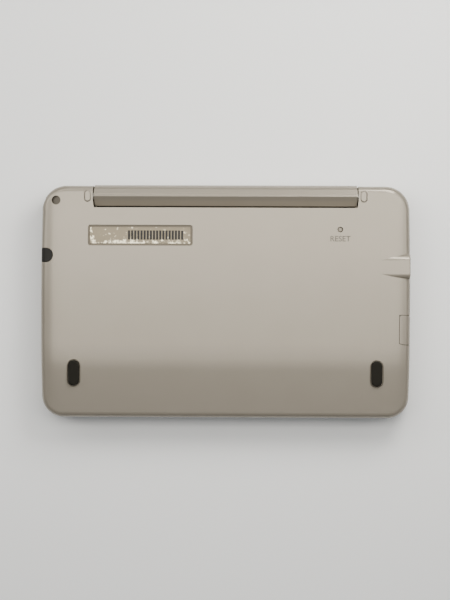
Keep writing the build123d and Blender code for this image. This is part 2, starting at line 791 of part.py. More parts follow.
function_size = (11.6, 6.6)
function_seats = [seat(-41.0 + 14.0 * i, 0) for i in range(8)]
command_size = (14.4, 9.4)
command_seats = [seat(-54.5 + 17.0 * i, 4) for i in range(5)]
cursor_seats = [seat(44.1, 3), seat(31.5, 4), seat(44.1, 4), seat(56.7, 4)]
enter_seat = seat(56.7, 3)
power_seat = seat(-58.0, 0)
power_radius = 4.2
flange_overlap = 0.6


def key_outline(size, growth=0.0):
    """A rectangle with cut corners, grown all round."""
    with BuildSketch() as plan:
        Rectangle(size[0] + 2 * growth, size[1] + 2 * growth)
        chamfer(plan.vertices(), key_corner)
    return plan.sketch


# ---------------------------------------------------------------- key plate
# One flat plate with an opening for every key. It covers the deck's screws.
with BuildPart() as key_plate:
    with BuildSketch(Plane.XY.offset(plate_z)):
        with Locations((0, plate_y)):
            RectangleRounded(plate_size[0], plate_size[1], 4.0)
        for seats, size in (
            (list(key_seats.values()) + cursor_seats + [enter_seat], letter_size),
            (function_seats, function_size),
            (command_seats, command_size),
        ):
            with Locations(*seats):
                add(key_outline(size, key_gap), mode=Mode.SUBTRACT)
        with Locations(power_seat):
            Circle(power_radius + key_gap, mode=Mode.SUBTRACT)
    extrude(amount=plate_thickness)
finish(key_plate, "key_plate")


# ---------------------------------------------------------------- keys
# Each cap comes up through the plate, and a wider flange behind the plate keeps it in.
def make_keys(name, seats, size):
    with BuildPart() as keys:
        with BuildSketch(Plane.XY.offset(key_top_z)):
            with Locations(*seats):
                add(key_outline(size))
        extrude(amount=key_flange_z - key_top_z)
        with BuildSketch(Plane.XY.offset(key_flange_z)):
            with Locations(*seats):
                Rectangle(size[0] + 2 * flange_overlap, size[1] + 2 * flange_overlap)
        extrude(amount=key_flange_height)
    finish(keys, name)


for key_name, key_seat in key_seats.items():
    make_keys(key_name, [key_seat], letter_size)
make_keys("enter_key", [enter_seat], letter_size)
make_keys("cursor_keys", cursor_seats, letter_size)
make_keys("function_keys", function_seats, function_size)
make_keys("command_keys", command_seats, command_size)

with BuildPart() as power_key:
    with BuildSketch(Plane.XY.offset(key_top_z)):
        with Locations(power_seat):
            Circle(power_radius)
    extrude(amount=key_flange_z - key_top_z)
    with BuildSketch(Plane.XY.offset(key_flange_z)):
        with Locations(power_seat):
            Circle(power_radius + flange_overlap)
    extrude(amount=key_flange_height)
finish(power_key, "power_key")

# ---------------------------------------------------------------- key membrane
# A rubber sheet with the contacts, held between the deck's lip and the board.
membrane_size = (135.8, 74.0)

with BuildPart() as key_membrane:
    with BuildSketch(Plane.XY.offset(deck_lip_z)):
        with Locations((0, key_window_y)):
            RectangleRounded(membrane_size[0], membrane_size[1], 2.0)
        with Locations(*case_screw_places):
            Circle(boss_radius + 0.2, mode=Mode.SUBTRACT)
        with Locations(stylus_block_middle):
            Rectangle(stylus_block_size[0] + 0.4, stylus_block_size[1] + 0.4, mode=Mode.SUBTRACT)
    extrude(amount=board_z - deck_lip_z)
finish(key_membrane, "key_membrane")

# ---------------------------------------------------------------- main board
# The circuit board, with its shielded processor, memory and power parts soldered on.
board_size = (132.0, 72.0)
jack_bore_radius = 1.8
jack_mouth_x = 75.9
jack_shoulder_x = 69.9
jack_back_x = 60.0
jack_body_width = 6.2
jack_body_height = 4.2
jack_depth = 14.0
shield_centre = (26.0, 0.0)
shield_size = (24.0, 20.0)
memory_centre = (47.0, 2.0)
memory_size = (9.0, 12.0)
driver_centre = (20.0, -26.0)
driver_size = (14.0, 8.0)
power_chip_centre = (-20.0, -26.0)
power_chip_size = (10.0, 10.0)
connector_centres = ((8.0, 30.0), (-50.0, 29.0))
connector_size = (16.0, 3.5)
chip_height = 1.3
small_parts_centre = (-45.0, -24.0)
small_part_size = (1.6, 3.0)
small_part_height = 0.8

with BuildPart() as main_board:
    with BuildSketch(Plane.XY.offset(board_z)):
        with Locations((0, key_window_y + 0.5)):
            RectangleRounded(board_size[0], board_size[1], 2.0)
        with Locations(*case_screw_places):
            Circle(boss_radius + 0.2, mode=Mode.SUBTRACT)
        with Locations((jack_back_x + 10, jack_y)):
            Rectangle(20.4, jack_body_width + 0.4, mode=Mode.SUBTRACT)
    extrude(amount=board_top_z - board_z)
    with BuildSketch(Plane.XY.offset(board_top_z)):
        with Locations(shield_centre):
            RectangleRounded(shield_size[0], shield_size[1], 0.8)
        with Locations(memory_centre):
            Rectangle(*memory_size)
        with Locations(driver_centre):
            Rectangle(*driver_size)
        with Locations(power_chip_centre):
            Rectangle(*power_chip_size)
        with Locations(*connector_centres):
            Rectangle(*connector_size)
    extrude(amount=chip_height)
    with BuildSketch(Plane.XY.offset(board_top_z)):
        with Locations(small_parts_centre):
            with GridLocations(5, 6, 5, 2):
                Rectangle(*small_part_size)
    extrude(amount=small_part_height)
finish(main_board, "main_board")

# ---------------------------------------------------------------- battery
# A soft-edged pouch cell on the board, with its plug at one end.
battery_centre = (-26.0, 0.0)
battery_size = (56.0, 28.0)
battery_height = 3.6
battery_plug_centre = (4.0, 4.0)
battery_plug_size = (4.0, 6.0)
battery_plug_height = 1.0

with BuildPart() as battery:
    with BuildSketch(Plane.XY.offset(board_top_z)):
        with Locations(battery_centre):
            RectangleRounded(battery_size[0], battery_size[1], 1.5)
    extrude(amount=battery_height)
    chamfer(battery.edges().group_by(Axis.Z)[-1], 0.8)
    with BuildSketch(Plane.XY.offset(board_top_z)):
        with Locations(battery_plug_centre):
            Rectangle(*battery_plug_size)
    extrude(amount=battery_plug_height)
finish(battery, "battery")

# ---------------------------------------------------------------- sockets
# Each one stands on the board, with its mouth at the side wall.
card_socket_x = 62.8
card_socket_size = (13.0, 13.6)
card_socket_height = 1.8
card_socket_mouth_size = (11.2, 1.0)
card_socket_mouth_x = 70.0
card_socket_depth = 12.0
usb_back_x = 68.5
usb_mouth_x = 75.0
usb_shell_size = (7.8, 2.8)
usb_inner_size = (7.0, 2.0)
usb_tongue_size = (4.0, 0.6)
usb_hollow_x = 70.3
usb_base_x = 67.0
usb_base_size = (5.0, 6.0)

with BuildPart() as card_socket:
    with BuildSketch(Plane.XY.offset(board_top_z)):
        with Locations((card_socket_x, card_slot_y + card_slot_offset)):
            Rectangle(*card_socket_size)
    extrude(amount=card_socket_height)
    with BuildSketch(Plane.YZ.offset(card_socket_mouth_x)):
        with Locations((card_slot_y + card_slot_offset, card_slot_z)):
            Rectangle(*card_socket_mouth_size)
    extrude(amount=-card_socket_depth, mode=Mode.SUBTRACT)
finish(card_socket, "card_socket")

with BuildPart() as usb_socket:
    with BuildSketch(Plane.YZ.offset(usb_back_x)):
        with Locations((usb_y, usb_z)):
            RectangleRounded(usb_shell_size[0], usb_shell_size[1], 0.8)
    extrude(amount=usb_mouth_x - usb_back_x)
    with BuildSketch(Plane.YZ.offset(usb_hollow_x)):
        with Locations((usb_y, usb_z)):
            RectangleRounded(usb_inner_size[0], usb_inner_size[1], 0.6)
            Rectangle(*usb_tongue_size, mode=Mode.SUBTRACT)
    extrude(amount=8, mode=Mode.SUBTRACT)
    with BuildSketch(Plane.XY.offset(board_top_z)):
        with Locations((usb_base_x, usb_y)):
            Rectangle(*usb_base_size)
    extrude(amount=usb_z - board_top_z)
finish(usb_socket, "usb_socket")

with BuildPart() as earphone_jack:
    with BuildSketch(Plane.XY.offset(board_z + 0.05)):
        with Locations(((jack_back_x + jack_shoulder_x) / 2, jack_y)):
            Rectangle(jack_shoulder_x - jack_back_x, jack_body_width)
    extrude(amount=jack_body_height)
    with BuildSketch(Plane.YZ.offset(jack_shoulder_x)):
        with Locations((jack_y, jack_z)):
            Circle(jack_nose_radius)
    extrude(amount=jack_mouth_x - jack_shoulder_x)
    with BuildSketch(Plane.YZ.offset(jack_mouth_x)):
        with Locations((jack_y, jack_z)):
            Circle(jack_bore_radius)
    extrude(amount=-jack_depth, mode=Mode.SUBTRACT)
finish(earphone_jack, "earphone_jack")

# ---------------------------------------------------------------- reset switch and button
switch_size = (4.5, 4.5)
switch_top_z = 13.8
plunger_radius = 1.0
plunger_top_z = 14.3
button_radius = 0.95
button_flange_radius = 1.8
button_low_z = 14.9
button_flange_z = 15.4
button_flange_height = 0.8
button_top_z = 17.5

with BuildPart() as reset_switch:
    with BuildSketch(Plane.XY.offset(board_top_z)):
        with Locations(reset_hole):
            Rectangle(*switch_size)
    extrude(amount=switch_top_z - board_top_z)
    with BuildSketch(Plane.XY.offset(switch_top_z)):
        with Locations(reset_hole):
            Circle(plunger_radius)
    extrude(amount=plunger_top_z - switch_top_z)
finish(reset_switch, "reset_switch")

with BuildPart() as reset_button:
    with BuildSketch(Plane.XY.offset(button_low_z)):
        with Locations(reset_hole):
            Circle(button_radius)
    extrude(amount=button_top_z - button_low_z)
    chamfer(reset_button.edges().group_by(Axis.Z)[-1], 0.2)
    with BuildSketch(Plane.XY.offset(button_flange_z)):
        with Locations(reset_hole):
            Circle(button_flange_radius)
    extrude(amount=button_flange_height)
finish(reset_button, "reset_button")

# ---------------------------------------------------------------- hinge brackets
# A steel shaft on a plate, screwed to the case beside each end of the bar.
bracket_plate_z = 12.6
bracket_plate_thickness = 1.2
bracket_plate_x = 63.0
bracket_plate_y = 38.4
bracket_plate_size = (7.8, 14.0)
bracket_screw_places = ((-63.0, 33.6), (63.0, 33.6))
bracket_shaft_inner_x = 42.0
bracket_shaft_outer_x = 62.0

with BuildPart() as hinge_brackets:
    for side in (-1, 1):
        start_x = bracket_shaft_inner_x if side > 0 else -bracket_shaft_outer_x
        with BuildSketch(Plane.YZ.offset(start_x)):
            with Locations((hinge_y, hinge_z)):
                Circle(shaft_radius)
        extrude(amount=bracket_shaft_outer_x - bracket_shaft_inner_x)
    with BuildSketch(Plane.XY.offset(bracket_plate_z)):
        with Locations((-bracket_plate_x, bracket_plate_y), (bracket_plate_x, bracket_plate_y)):
            RectangleRounded(bracket_plate_size[0], bracket_plate_size[1], 1.2)
        with Locations(*bracket_screw_places):
            Circle(screw_radius + 0.1, mode=Mode.SUBTRACT)
    extrude(amount=bracket_plate_thickness)
finish(hinge_brackets, "hinge_brackets")

# ---------------------------------------------------------------- stylus tube
# A thin flat tube across the base that the stylus slides in, with a closed far end.
tube_start_x = stylus_block_x
tube_end_x = 27.0
tube_wall = 0.45
tube_gap = 0.15

with BuildPart() as stylus_tube:
    with BuildSketch(Plane.YZ.offset(tube_start_x)):
        with Locations((stylus_y, stylus_z)):
            RectangleRounded(
                stylus_width + 2 * (tube_gap + tube_wall),
                stylus_thickness + 2 * (tube_gap + tube_wall),
                1.9,
            )
    extrude(amount=tube_end_x - tube_start_x)
    with BuildSketch(Plane.YZ.offset(tube_start_x)):
        with Locations((stylus_y, stylus_z)):
            RectangleRounded(stylus_width + 2 * tube_gap, stylus_thickness + 2 * tube_gap, 1.5)
    extrude(amount=tube_end_x - tube_start_x - 1, mode=Mode.SUBTRACT)
finish(stylus_tube, "stylus_tube")

# ---------------------------------------------------------------- stylus
# A flat oval rod with a tapered tip. Its head fills the notch and takes its outer surface from the
# base, so that it is flush with the case.
stylus_shaft_start_x = -72.0
stylus_shaft_end_x = 18.0
stylus_tip_x = 25.0
stylus_tip_taper = 6.5

with BuildPart() as stylus_head:
    add(base_form.part)
    with BuildSketch(Plane.XY.offset(stylus_low_z)):
        add(stylus_notch_plan(stylus_notch_radius - 0.2))
    extrude(amount=8, mode=Mode.INTERSECT)

with BuildPart() as stylus:
    with BuildSketch(Plane.YZ.offset(stylus_shaft_start_x)):
        with Locations((stylus_y, stylus_z)):
            RectangleRounded(stylus_width, stylus_thickness, 1.39)
    extrude(amount=stylus_shaft_end_x - stylus_shaft_start_x)
    with BuildSketch(Plane.YZ.offset(stylus_shaft_end_x)):
        with Locations((stylus_y, stylus_z)):
            Circle(stylus_thickness / 2)
    extrude(amount=stylus_tip_x - stylus_shaft_end_x, taper=stylus_tip_taper)
    add(stylus_head.part)
finish(stylus, "stylus")

# ---------------------------------------------------------------- card slot cover
# It takes its outer surface from the base, so that it is flush with the case all round.
with BuildPart() as card_cover:
    add(base_form.part)
    with BuildSketch(Plane.XY.offset(cover_low_z)) as cover_shape:
        add(cover_plan(0))
        fillet(cover_shape.vertices().group_by(Axis.Y)[-1].sort_by(Axis.X)[0], 1.0)
        with Locations((cover_axis_x + 5, cover_axis_y + 5)):
            Rectangle(10, 10, mode=Mode.SUBTRACT)
        with Locations((cover_axis_x, cover_axis_y)):
            Circle(cover_boss_radius)
    extrude(amount=10, mode=Mode.INTERSECT)
    with BuildSketch(Plane.XY.offset(cover_low_z)):
        with Locations((cover_ledge_x - 10, card_slot_y)):
            Rectangle(20, 40)
    extrude(amount=cover_ledge_z - cover_low_z, mode=Mode.SUBTRACT)
    with BuildSketch(Plane.XY.offset(cover_low_z - cover_pin_length)):
        with Locations((cover_axis_x, cover_axis_y)):
            Circle(cover_pin_radius)
    extrude(amount=cover_pin_length + 0.1)
finish(card_cover, "card_cover")

# ---------------------------------------------------------------- feet and label
with BuildPart() as rubber_feet:
    for x, y in foot_centres:
        floor_z = body_height - underside_drop(x, y) - foot_recess_depth
        with BuildSketch(Plane.XY.offset(floor_z)):
            with Locations((x, y)):
                SlotOverall(foot_size[1], foot_size[0], rotation=90)
        extrude(amount=foot_top_z - floor_z)
    chamfer(rubber_feet.edges().group_by(Axis.Z)[-1], 0.4)
finish(rubber_feet, "rubber_feet")

with BuildPart() as nameplate_label:
    with BuildSketch(Plane.XY.offset(body_height - label_depth)):
        with Locations(label_centre):
            RectangleRounded(label_size[0] - 2 * label_margin, label_size[1] - 2 * label_margin, 0.4)
    extrude(amount=label_thickness)
finish(nameplate_label, "nameplate_label")

# ---------------------------------------------------------------- screws of the base
# Four join the deck to the case from the keyboard side, under the key plate. Two hold the brackets.
case_screw_length = 3.6
bracket_head_height = 0.25
bracket_screw_length = 3.2

with BuildPart() as case_screws:
    with BuildSketch(Plane.XY.offset(plate_back_z + 0.1)):
        with Locations(*case_screw_places):
            Circle(screw_head_radius)
    extrude(amount=screw_head_height - 0.1)
    with BuildSketch(Plane.XY.offset(plate_back_z + screw_head_height)):
        with Locations(*case_screw_places):
            Circle(screw_radius)
    extrude(amount=case_screw_length)
finish(case_screws, "case_screws")

with BuildPart() as bracket_screws:
    with BuildSketch(Plane.XY.offset(bracket_plate_z)):
        with Locations(*bracket_screw_places):
            Circle(screw_head_radius)
    extrude(amount=-bracket_head_height)
    with BuildSketch(Plane.XY.offset(bracket_plate_z)):
        with Locations(*bracket_screw_places):
            Circle(screw_radius)
    extrude(amount=bracket_screw_length)
finish(bracket_screws, "bracket_screws")
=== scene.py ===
import math

import bpy
from mathutils import Matrix, Vector


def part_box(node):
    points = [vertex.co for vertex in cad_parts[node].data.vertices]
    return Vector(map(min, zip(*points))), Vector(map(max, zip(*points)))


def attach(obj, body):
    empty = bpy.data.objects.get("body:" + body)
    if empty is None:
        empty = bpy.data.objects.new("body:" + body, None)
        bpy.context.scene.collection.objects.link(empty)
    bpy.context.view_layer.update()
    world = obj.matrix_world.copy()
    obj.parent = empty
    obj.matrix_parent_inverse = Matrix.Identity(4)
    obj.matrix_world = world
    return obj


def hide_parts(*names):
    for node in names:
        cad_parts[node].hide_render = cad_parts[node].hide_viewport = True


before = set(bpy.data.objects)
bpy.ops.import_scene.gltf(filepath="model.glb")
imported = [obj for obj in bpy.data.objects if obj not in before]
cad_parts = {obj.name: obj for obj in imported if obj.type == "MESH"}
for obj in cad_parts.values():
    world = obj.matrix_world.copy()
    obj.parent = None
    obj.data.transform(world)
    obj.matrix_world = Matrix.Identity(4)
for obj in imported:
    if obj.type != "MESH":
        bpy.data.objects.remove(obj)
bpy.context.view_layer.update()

# Pocket electronic dictionary, shut and lying on its lid. Metres, in the frame of the CAD model.
# The sections follow the object as it is put together: the lid, the keyboard side, the underside.
mm = 0.001

# ------------------------------------------------------------------ lid cover
# The shell behind the screen: moulded ABS, sprayed with a champagne paint. A little metal flake in
# the paint gives a wide, soft sheen, and the mould's spark-eroded grain shows as a very fine tooth.


def linear(hex_colour):
    """An sRGB hex colour as linear red, green, blue and alpha."""
    channels = [int(hex_colour[i:i + 2], 16) / 255 for i in (1, 3, 5)]
    return [c / 12.92 if c <= 0.04045 else ((c + 0.055) / 1.055) ** 2.4 for c in channels] + [1.0]


def add_node(material, kind, values=None, links=None, **settings):
    """Adds a shader node: settings are its options, values fill its sockets, links feed them."""
    made = material.node_tree.nodes.new(kind)
    for name, value in settings.items():
        setattr(made, name, value)
    for name, value in (values or {}).items():
        made.inputs[name].default_value = value
    for name, source in (links or {}).items():
        material.node_tree.links.new(source, made.inputs[name])
    return made


def new_material(name, values):
    """A material with a principled surface, and the surface node itself."""
    material = bpy.data.materials.new(name)
    material.use_nodes = True
    surface = material.node_tree.nodes["Principled BSDF"]
    for socket, value in values.items():
        surface.inputs[socket].default_value = value
    return material, surface


def mottle(material, surface, light, dark, patch):
    """Drifts the colour between two shades over patches of the given size in metres."""
    place = add_node(material, "ShaderNodeTexCoord")
    cloud = add_node(material, "ShaderNodeTexNoise", {"Scale": 1 / patch, "Detail": 4.0},
                     {"Vector": place.outputs["Object"]})
    shade = add_node(material, "ShaderNodeMixRGB",
                     {"Color1": linear(light), "Color2": linear(dark)},
                     {"Fac": cloud.outputs["Fac"]})
    material.node_tree.links.new(shade.outputs["Color"], surface.inputs["Base Color"])
    return shade


def grain(material, surface, pitch, height, strength):
    """Raises a fine moulded grain of the given pitch and height in metres."""
    place = add_node(material, "ShaderNodeTexCoord")
    tooth = add_node(material, "ShaderNodeTexNoise", {"Scale": 1 / pitch, "Detail": 3.0},
                     {"Vector": place.outputs["Object"]})
    bump = add_node(material, "ShaderNodeBump", {"Strength": strength, "Distance": height},
                    {"Height": tooth.outputs["Fac"]})
    material.node_tree.links.new(bump.outputs["Normal"], surface.inputs["Normal"])


def dress(material, *names):
    """Gives CAD nodes their material."""
    for name in names:
        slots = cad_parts[name].data.materials
        slots.clear()
        slots.append(material)


paint, paint_surface = new_material("satin_champagne_paint", {
    "Metallic": 0.35, "Roughness": 0.22, "IOR": 1.5,
})
paint_shade = mottle(paint, paint_surface, "#8F897F", "#8A8479", patch=14 * mm)

# Seams and inner corners are painted darker than the faces: painted shade, taken from an occlusion
# node.
# It is thickest at the first share of open space round a place, and ends at the second.
seam_reach = 1.0 * mm
seam_shut, seam_open = 0.2, 0.55
seam = add_node(paint, "ShaderNodeAmbientOcclusion", {"Distance": seam_reach}, samples=8)
painted_seam_shade = add_node(paint, "ShaderNodeMapRange",
                     {"From Min": seam_shut, "From Max": seam_open, "To Min": 1.0, "To Max": 0.0},
                     {"Value": seam.outputs["AO"]})
# The painted shade is left out from the front feet forward, where it would darken the bevels round
# them and make the feet look larger.
seam_shade_ends_at = -22 * mm
place = add_node(paint, "ShaderNodeTexCoord")
along = add_node(paint, "ShaderNodeSeparateXYZ", links={"Vector": place.outputs["Object"]})
behind_feet = add_node(paint, "ShaderNodeMath", {1: seam_shade_ends_at},
                       {0: along.outputs["Y"]}, operation="GREATER_THAN")
painted_seam_shade = add_node(paint, "ShaderNodeMath",
                     links={0: painted_seam_shade.outputs["Result"], 1: behind_feet.outputs[0]},
                     operation="MULTIPLY")
# The painted seam shade is mixed into the paint's base colour.
paint_shade = add_node(paint, "ShaderNodeMixRGB", {"Color2": linear("#2B2720")},
                       {"Fac": painted_seam_shade.outputs[0], "Color1": paint_shade.outputs["Color"]})
paint.node_tree.links.new(paint_shade.outputs["Color"], paint_surface.inputs["Base Color"])

# The real grain is about 0.1 mm. Here and on the other mouldings it is drawn at 0.4 to 0.7 mm, so
# that it shows at all.
grain(paint, paint_surface, pitch=0.7 * mm, height=0.02 * mm, strength=0.35)
dress(paint, "lid_cover")

# ------------------------------------------------------------------ display
# The LCD module is glued into the cover behind a clear window of hard-coated acrylic, printed black
# on its back round the viewing area. Switched off, the panel shows as a dark greenish grey.
window_middle = sum(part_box("screen_window"), Vector()) / 2
viewing_half_size = Vector((54.5, 30.5, 1.0)) * mm
panel_patch = 25 * mm


def inside_box(material, middle, half_size):
    """1 inside a box that stands square on the object, and 0 outside it. Sizes are in metres."""
    place = add_node(material, "ShaderNodeTexCoord")
    away = add_node(material, "ShaderNodeVectorMath", {1: middle}, {0: place.outputs["Object"]},
                    operation="SUBTRACT")
    reach = add_node(material, "ShaderNodeVectorMath", links={0: away.outputs["Vector"]},
                     operation="ABSOLUTE")
    past = add_node(material, "ShaderNodeVectorMath", {1: half_size}, {0: reach.outputs["Vector"]},
                    operation="SUBTRACT")
    sides = add_node(material, "ShaderNodeSeparateXYZ", links={"Vector": past.outputs["Vector"]})
    in_plan = add_node(material, "ShaderNodeMath",
                       links={0: sides.outputs["X"], 1: sides.outputs["Y"]}, operation="MAXIMUM")
    furthest = add_node(material, "ShaderNodeMath",
                        links={0: in_plan.outputs[0], 1: sides.outputs["Z"]}, operation="MAXIMUM")
    return add_node(material, "ShaderNodeMath", {1: 0.0}, {0: furthest.outputs[0]},
                    operation="LESS_THAN").outputs[0]


# Polished acrylic under a hard coat gives sharp, clear reflections.
window, window_surface = new_material("hard_coated_window", {
    "Roughness": 0.06, "IOR": 1.49, "Coat Weight": 0.6, "Coat Roughness": 0.03,
})
place = add_node(window, "ShaderNodeTexCoord")
cells = add_node(window, "ShaderNodeTexNoise", {"Scale": 1 / panel_patch, "Detail": 2.0},
                 {"Vector": place.outputs["Object"]})
panel_shade = add_node(window, "ShaderNodeMixRGB",
                       {"Color1": linear("#2C302E"), "Color2": linear("#343936")},
                       {"Fac": cells.outputs["Fac"]})
printed = add_node(window, "ShaderNodeMixRGB", {"Color1": linear("#0B0B0C")},
                   {"Fac": inside_box(window, window_middle, viewing_half_size),
                    "Color2": panel_shade.outputs["Color"]})
window.node_tree.links.new(printed.outputs["Color"], window_surface.inputs["Base Color"])
dress(window, "screen_window")

# Glass in a black tray is dark, with a soft gloss.
panel, panel_surface = new_material("lcd_glass_in_tray", {"Roughness": 0.25, "IOR": 1.5})
mottle(panel, panel_surface, "#2A2D2C", "#202322", patch=20 * mm)
dress(panel, "lcd_module")

# Polyimide film over copper tracks is amber, with a dull gloss.
film, film_surface = new_material("polyimide_ribbon", {"Roughness": 0.35, "IOR": 1.7})
mottle(film, film_surface, "#B06A22", "#9A5A1A", patch=5 * mm)
dress(film, "display_cable")

# ------------------------------------------------------------------ bezel and what it carries
# The bezel is a matt black ABS frame that closes the lid. Two screws hold it beside the hinge, a
# speaker sits behind its four slots, and two soft bumpers are pressed into its far corners.
bezel, bezel_surface = new_material("fine_matt_black_abs", {"Roughness": 0.55, "IOR": 1.53})
mottle(bezel, bezel_surface, "#2B2A29", "#242322", patch=10 * mm)
grain(bezel, bezel_surface, pitch=0.6 * mm, height=0.02 * mm, strength=0.5)
dress(bezel, "lid_bezel")

# Small inner mouldings come from a plain mould and are smoother than the outer ones.
moulded_black, moulded_black_surface = new_material("plain_moulded_black", {
    "Roughness": 0.42, "IOR": 1.53,
})
mottle(moulded_black, moulded_black_surface, "#232221", "#1C1B1B", patch=6 * mm)
dress(moulded_black, "speaker", "earphone_jack", "reset_switch", "stylus_tube")

# Zinc plating is bluish and a little uneven.
zinc, zinc_surface = new_material("zinc_plated_screw_steel", {"Metallic": 1.0, "Roughness": 0.34})
mottle(zinc, zinc_surface, "#9C9CA0", "#84858A", patch=1.5 * mm)
dress(zinc, "lid_screws", "case_screws", "bracket_screws")

# Moulded rubber has next to no gloss.
soft_rubber, soft_rubber_surface = new_material("soft_matt_rubber", {
    "Roughness": 0.8, "IOR": 1.52,
})
mottle(soft_rubber, soft_rubber_surface, "#47453F", "#3F3D38", patch=4 * mm)
grain(soft_rubber, soft_rubber_surface, pitch=0.4 * mm, height=0.02 * mm, strength=0.6)
dress(soft_rubber, "lid_bumpers")

# ------------------------------------------------------------------ hinge
# The bar is a painted moulding on the lid that carries a steel friction barrel in each end. Steel
# shafts on screwed plates hold the base to it. Nickel plating keeps the steel bright and warm.
dress(paint, "hinge_bar")
spring_steel, spring_steel_surface = new_material("plated_spring_steel", {
    "Metallic": 1.0, "Roughness": 0.3,
})
mottle(spring_steel, spring_steel_surface, "#B4B4B2", "#9D9D9C", patch=3 * mm)
dress(spring_steel, "hinge_clutches", "hinge_brackets")

# ------------------------------------------------------------------ keyboard deck and key plate
# The deck is the painted frame round the keys. The plate that lies in it is moulded in a shade
# darker than the case and left unpainted, so its sheen is duller.
dress(paint, "keyboard_deck")
plate, plate_surface = new_material("unpainted_satin_abs", {"Roughness": 0.46, "IOR": 1.53})
mottle(plate, plate_surface, "#9E917F", "#958977", patch=12 * mm)
grain(plate, plate_surface, pitch=0.6 * mm, height=0.02 * mm, strength=0.4)
dress(plate, "key_plate")

# ------------------------------------------------------------------ keys
# Each cap is moulded ABS with a soft edge and a slightly crowned top, and a flange that keeps it
# behind the plate. The letters are pad-printed in a dark grey ink.
cap, cap_surface = new_material("satin_key_cap_abs", {"Roughness": 0.4, "IOR": 1.53})
mottle(cap, cap_surface, "#D3CABB", "#CBC2B2", patch=9 * mm)
grain(cap, cap_surface, pitch=0.5 * mm, height=0.015 * mm, strength=0.3)
ink, ink_surface = new_material("dark_printing_ink", {"Roughness": 0.5, "IOR": 1.5})
mottle(ink, ink_surface, "#3A3733", "#2F2D2A", patch=2 * mm)

flange_width = 0.6 * mm
flange_thickness = 0.4 * mm
cap_corner = 1.5 * mm
smallest_corner = 0.3 * mm
# In mm, how far the cap's outline is drawn in, and how far below its top that happens
cap_profile = [(0.0, 0.55), (0.1, 0.28), (0.3, 0.12), (0.65, 0.05), (1.4, 0.02), (2.6, 0.0)]


def round_outline(half_x, half_y, radius, steps=6):
    """Points round a rectangle with round corners. Corners that meet share one point."""
    same_place = 0.0001 * mm
    points = []
    for turn, (side_x, side_y) in enumerate(((1, 1), (-1, 1), (-1, -1), (1, -1))):
        for step in range(steps + 1):
            angle = math.radians(90 * (turn + step / steps))
            point = (side_x * (half_x - radius) + radius * math.cos(angle),
                     side_y * (half_y - radius) + radius * math.sin(angle))
            if not points or math.dist(point, points[-1]) > same_place:
                points.append(point)
    if math.dist(points[0], points[-1]) < same_place:
        points.pop()
    return points


def stack(name, columns, material, flat_rings=()):
    """A closed mesh through stacks of rings, one stack for each separate solid."""
    points, faces, flat = [], [], []
    for rings in columns:
        count = len(rings[0])
        first = len(points)
        for ring in rings:
            points.extend(ring)
        for level in range(len(rings) - 1):
            low, high = first + level * count, first + (level + 1) * count
            for i in range(count):
                j = (i + 1) % count
                faces.append((low + i, low + j, high + j, high + i))
                flat.append(level in flat_rings)
        faces.append([first + i for i in reversed(range(count))])
        faces.append([first + (len(rings) - 1) * count + i for i in range(count)])
        flat.extend((True, False))
    mesh = bpy.data.meshes.new(name)
    mesh.from_pydata(points, [], faces)
    for face, is_flat in zip(mesh.polygons, flat):
        face.use_smooth = not is_flat
    mesh.materials.append(material)
    piece = bpy.data.objects.new(name, mesh)
    bpy.context.scene.collection.objects.link(piece)
    return piece


def cap_rings(centre, half_x, half_y, corner, top_z, back_z):
    """The rings of one key cap, from the back of its flange to the middle of its top."""
    front_of_flange = back_z - flange_thickness
    levels = [(-flange_width, back_z), (-flange_width, front_of_flange), (0.0, front_of_flange)]
    levels += [(inset * mm, top_z + depth * mm) for inset, depth in cap_profile]
    rings = []
    for inset, z in levels:
        radius = max(corner - inset, smallest_corner)
        outline = round_outline(half_x - inset, half_y - inset, radius)
        # The caps face down in this frame, so the outline is mirrored to keep the faces outward.
        rings.append([(centre[0] - x, centre[1] + y, z) for x, y in outline])
    return rings


def make_caps(node, centres, half_x, half_y, corner=cap_corner):
    """Replaces a node of keys by shaped caps."""
    low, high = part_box(node)
    columns = [cap_rings(centre, half_x, half_y, corner, low.z, high.z) for centre in centres]
    piece = stack("cap_" + node, columns, cap, flat_rings=(0, 1, 2))
    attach(piece, node)
    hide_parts(node)


def cap_half_size(low, high):
    """Half the width and half the depth of a single cap, without its flange."""
    return (high.x - low.x) / 2 - flange_width, (high.y - low.y) / 2 - flange_width


def row_centres(low, high, half_x, count):
    """The centres of a row of equal keys, from the user's left, which is +X here."""
    first_x = high.x - flange_width - half_x
    pitch = (high.x - low.x - 2 * (half_x + flange_width)) / (count - 1)
    return [Vector((first_x - i * pitch, (low.y + high.y) / 2, low.z)) for i in range(count)]


def lettering(name, words, material, size, thickness):
    """Raised words: pairs of text and a matrix that puts them in place. They share one mesh."""
    points, faces = [], []
    for text, where in words:
        curve = bpy.data.curves.new(name, "FONT")
        curve.body = text
        curve.size = size
        curve.align_x = "CENTER"
        curve.align_y = "CENTER"
        curve.extrude = thickness / 2
        curve.resolution_u = 3
        holder = bpy.data.objects.new(name, curve)
        bpy.context.scene.collection.objects.link(holder)
        bpy.context.view_layer.update()
        shape = bpy.data.meshes.new_from_object(holder)
        first = len(points)
        points.extend(where @ vertex.co for vertex in shape.vertices)
        faces.extend([first + i for i in face.vertices] for face in shape.polygons)
        bpy.data.objects.remove(holder)
        bpy.data.meshes.remove(shape)
    mesh = bpy.data.meshes.new(name)
    mesh.from_pydata(points, [], faces)
    mesh.materials.append(material)
    piece = bpy.data.objects.new(name, mesh)
    bpy.context.scene.collection.objects.link(piece)
    return piece


def on_key(x, y, z):
    """A place on a key's face, which looks down, with the hinge at the top of the letters."""
    return Matrix.Translation((x, y, z)) @ Matrix.Rotation(math.pi, 4, "Y")


ink_thickness = 0.03 * mm
letter_size = 4.2 * mm
digit_size = 3.2 * mm
command_word_size = 2.7 * mm
small_word_size = 2.4 * mm

